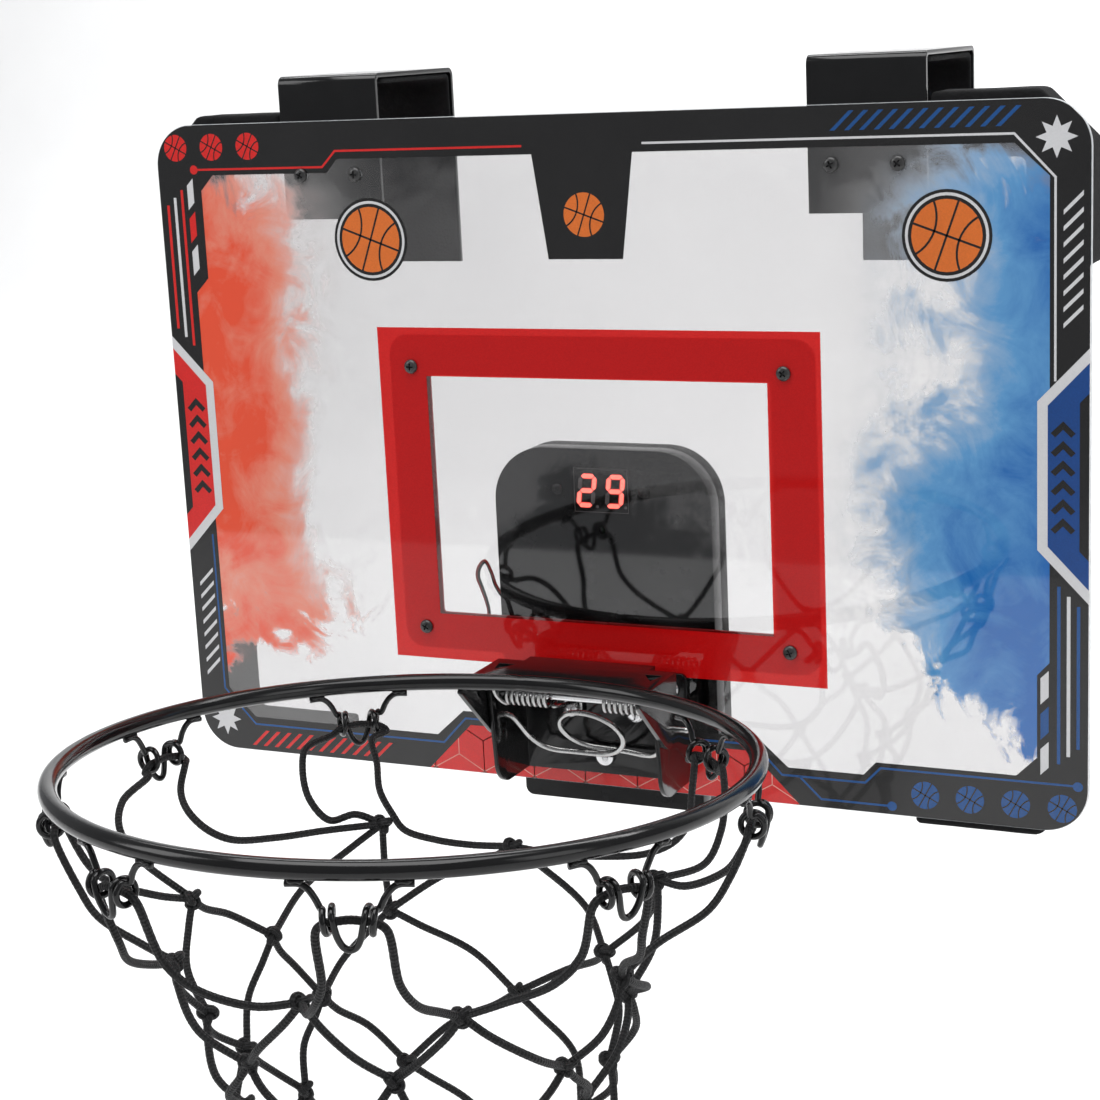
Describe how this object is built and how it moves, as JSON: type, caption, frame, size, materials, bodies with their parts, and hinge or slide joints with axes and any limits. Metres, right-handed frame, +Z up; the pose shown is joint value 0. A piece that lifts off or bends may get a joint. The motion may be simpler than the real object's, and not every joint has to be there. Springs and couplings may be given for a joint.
{
  "type": "over-door basketball hoop",
  "caption": "Over-the-door basketball hoop: clear printed backboard, sprung break-away rim with net, electronic score display and padded door hooks.",
  "frame": {"origin": "on the door's top edge, midway between the two door hooks and midway between the two faces of the door gap", "axes": "+X to the right as a player sees the board, +Y into the door, away from the player, +Z up"},
  "size_m": [0.432, 0.3985, 0.4541],
  "materials": {
    "printed_board": "clear sheet with a gloss print",
    "red_plastic": "gloss",
    "black_screw": "black oxide",
    "black_powder_coat": "gloss powder coat",
    "black_foam": "closed-cell foam",
    "black_plastic": "fine moulded texture",
    "display": "dark lens with lit red segments",
    "circuit_board": "solder mask",
    "speaker": "moulded",
    "battery": "printed sleeve",
    "spring_contact": "nickel plate",
    "sensor_brass": "bare",
    "lead_insulation": "pvc",
    "zinc_plated": "bright zinc",
    "bright_wire": "drawn wire, bright",
    "red_button": "moulded",
    "net_cord": "braided"
  },
  "bodies": {
    "board": {"backboard": "printed_board", "target_ring": "red_plastic", "ring_screw_1": "black_screw", "ring_screw_2": "black_screw", "ring_screw_3": "black_screw", "ring_screw_4": "black_screw", "door_hook_left": "black_powder_coat", "door_hook_right": "black_powder_coat", "hook_liner_left": "black_foam", "hook_liner_right": "black_foam", "hook_screw_1": "black_screw", "hook_screw_2": "black_screw", "hook_screw_3": "black_screw", "hook_screw_4": "black_screw", "corner_pad_upper_left": "black_foam", "corner_pad_upper_right": "black_foam", "corner_pad_lower_left": "black_foam", "corner_pad_lower_right": "black_foam", "unit_front_shell": "black_plastic", "unit_rear_shell": "black_plastic", "display_module": "display", "circuit_board": "circuit_board", "display_screw_1": "black_screw", "display_screw_2": "black_screw", "speaker": "speaker", "battery_1": "battery", "battery_2": "battery", "battery_3": "battery", "contact_plate_left": "spring_contact", "contact_plate_right": "spring_contact", "shot_sensor": "sensor_brass", "sensor_lead": "lead_insulation", "board_bracket": "black_powder_coat", "bracket_bolt_1": "zinc_plated", "bracket_bolt_2": "zinc_plated", "bracket_bolt_3": "zinc_plated", "bracket_bolt_4": "zinc_plated", "bracket_bolt_5": "zinc_plated", "spring_rod": "zinc_plated", "torsion_spring_left": "bright_wire", "torsion_spring_right": "bright_wire"},
    "rim": {"rim_arm": "black_powder_coat", "rim_ring": "black_powder_coat", "net_hook_1": "black_powder_coat", "net_hook_2": "black_powder_coat", "net_hook_3": "black_powder_coat", "net_hook_4": "black_powder_coat", "net_hook_5": "black_powder_coat", "net_hook_6": "black_powder_coat", "net_hook_7": "black_powder_coat", "net_hook_8": "black_powder_coat", "net": "net_cord"},
    "hinge_wire": {"hinge_wire": "bright_wire"},
    "battery_cover": {"battery_cover": "black_plastic"},
    "power_switch": {"power_switch": "black_plastic"},
    "reset_button": {"reset_button": "red_button"}
  },
  "joints": [
    {"name": "rim_break_away", "type": "hinge", "parent": "board", "child": "rim", "pos_m": [0, -0.0735, -0.277], "axis": [1, 0, 0], "range_deg": [0, 35], "stiffness_Nm_per_rad": 8, "springref_deg": -20.05, "deforming": ["torsion_spring_left", "torsion_spring_right"]},
    {"name": "hinge_wire_swing", "type": "hinge", "parent": "board", "child": "hinge_wire", "pos_m": [0, -0.0735, -0.277], "axis": [1, 0, 0], "range_deg": [-40, 0]},
    {"name": "battery_cover_slide", "type": "slide", "parent": "board", "child": "battery_cover", "axis": [0, 1, 0], "range_m": [0, 0.012]},
    {"name": "power_switch_slide", "type": "slide", "parent": "board", "child": "power_switch", "axis": [1, 0, 0], "range_m": [-0.005, 0]},
    {"name": "reset_press", "type": "slide", "parent": "board", "child": "reset_button", "axis": [0, 0, 1], "range_m": [0, 0.0015], "stiffness_N_per_m": 600, "springref_m": -0.001}
  ]
}
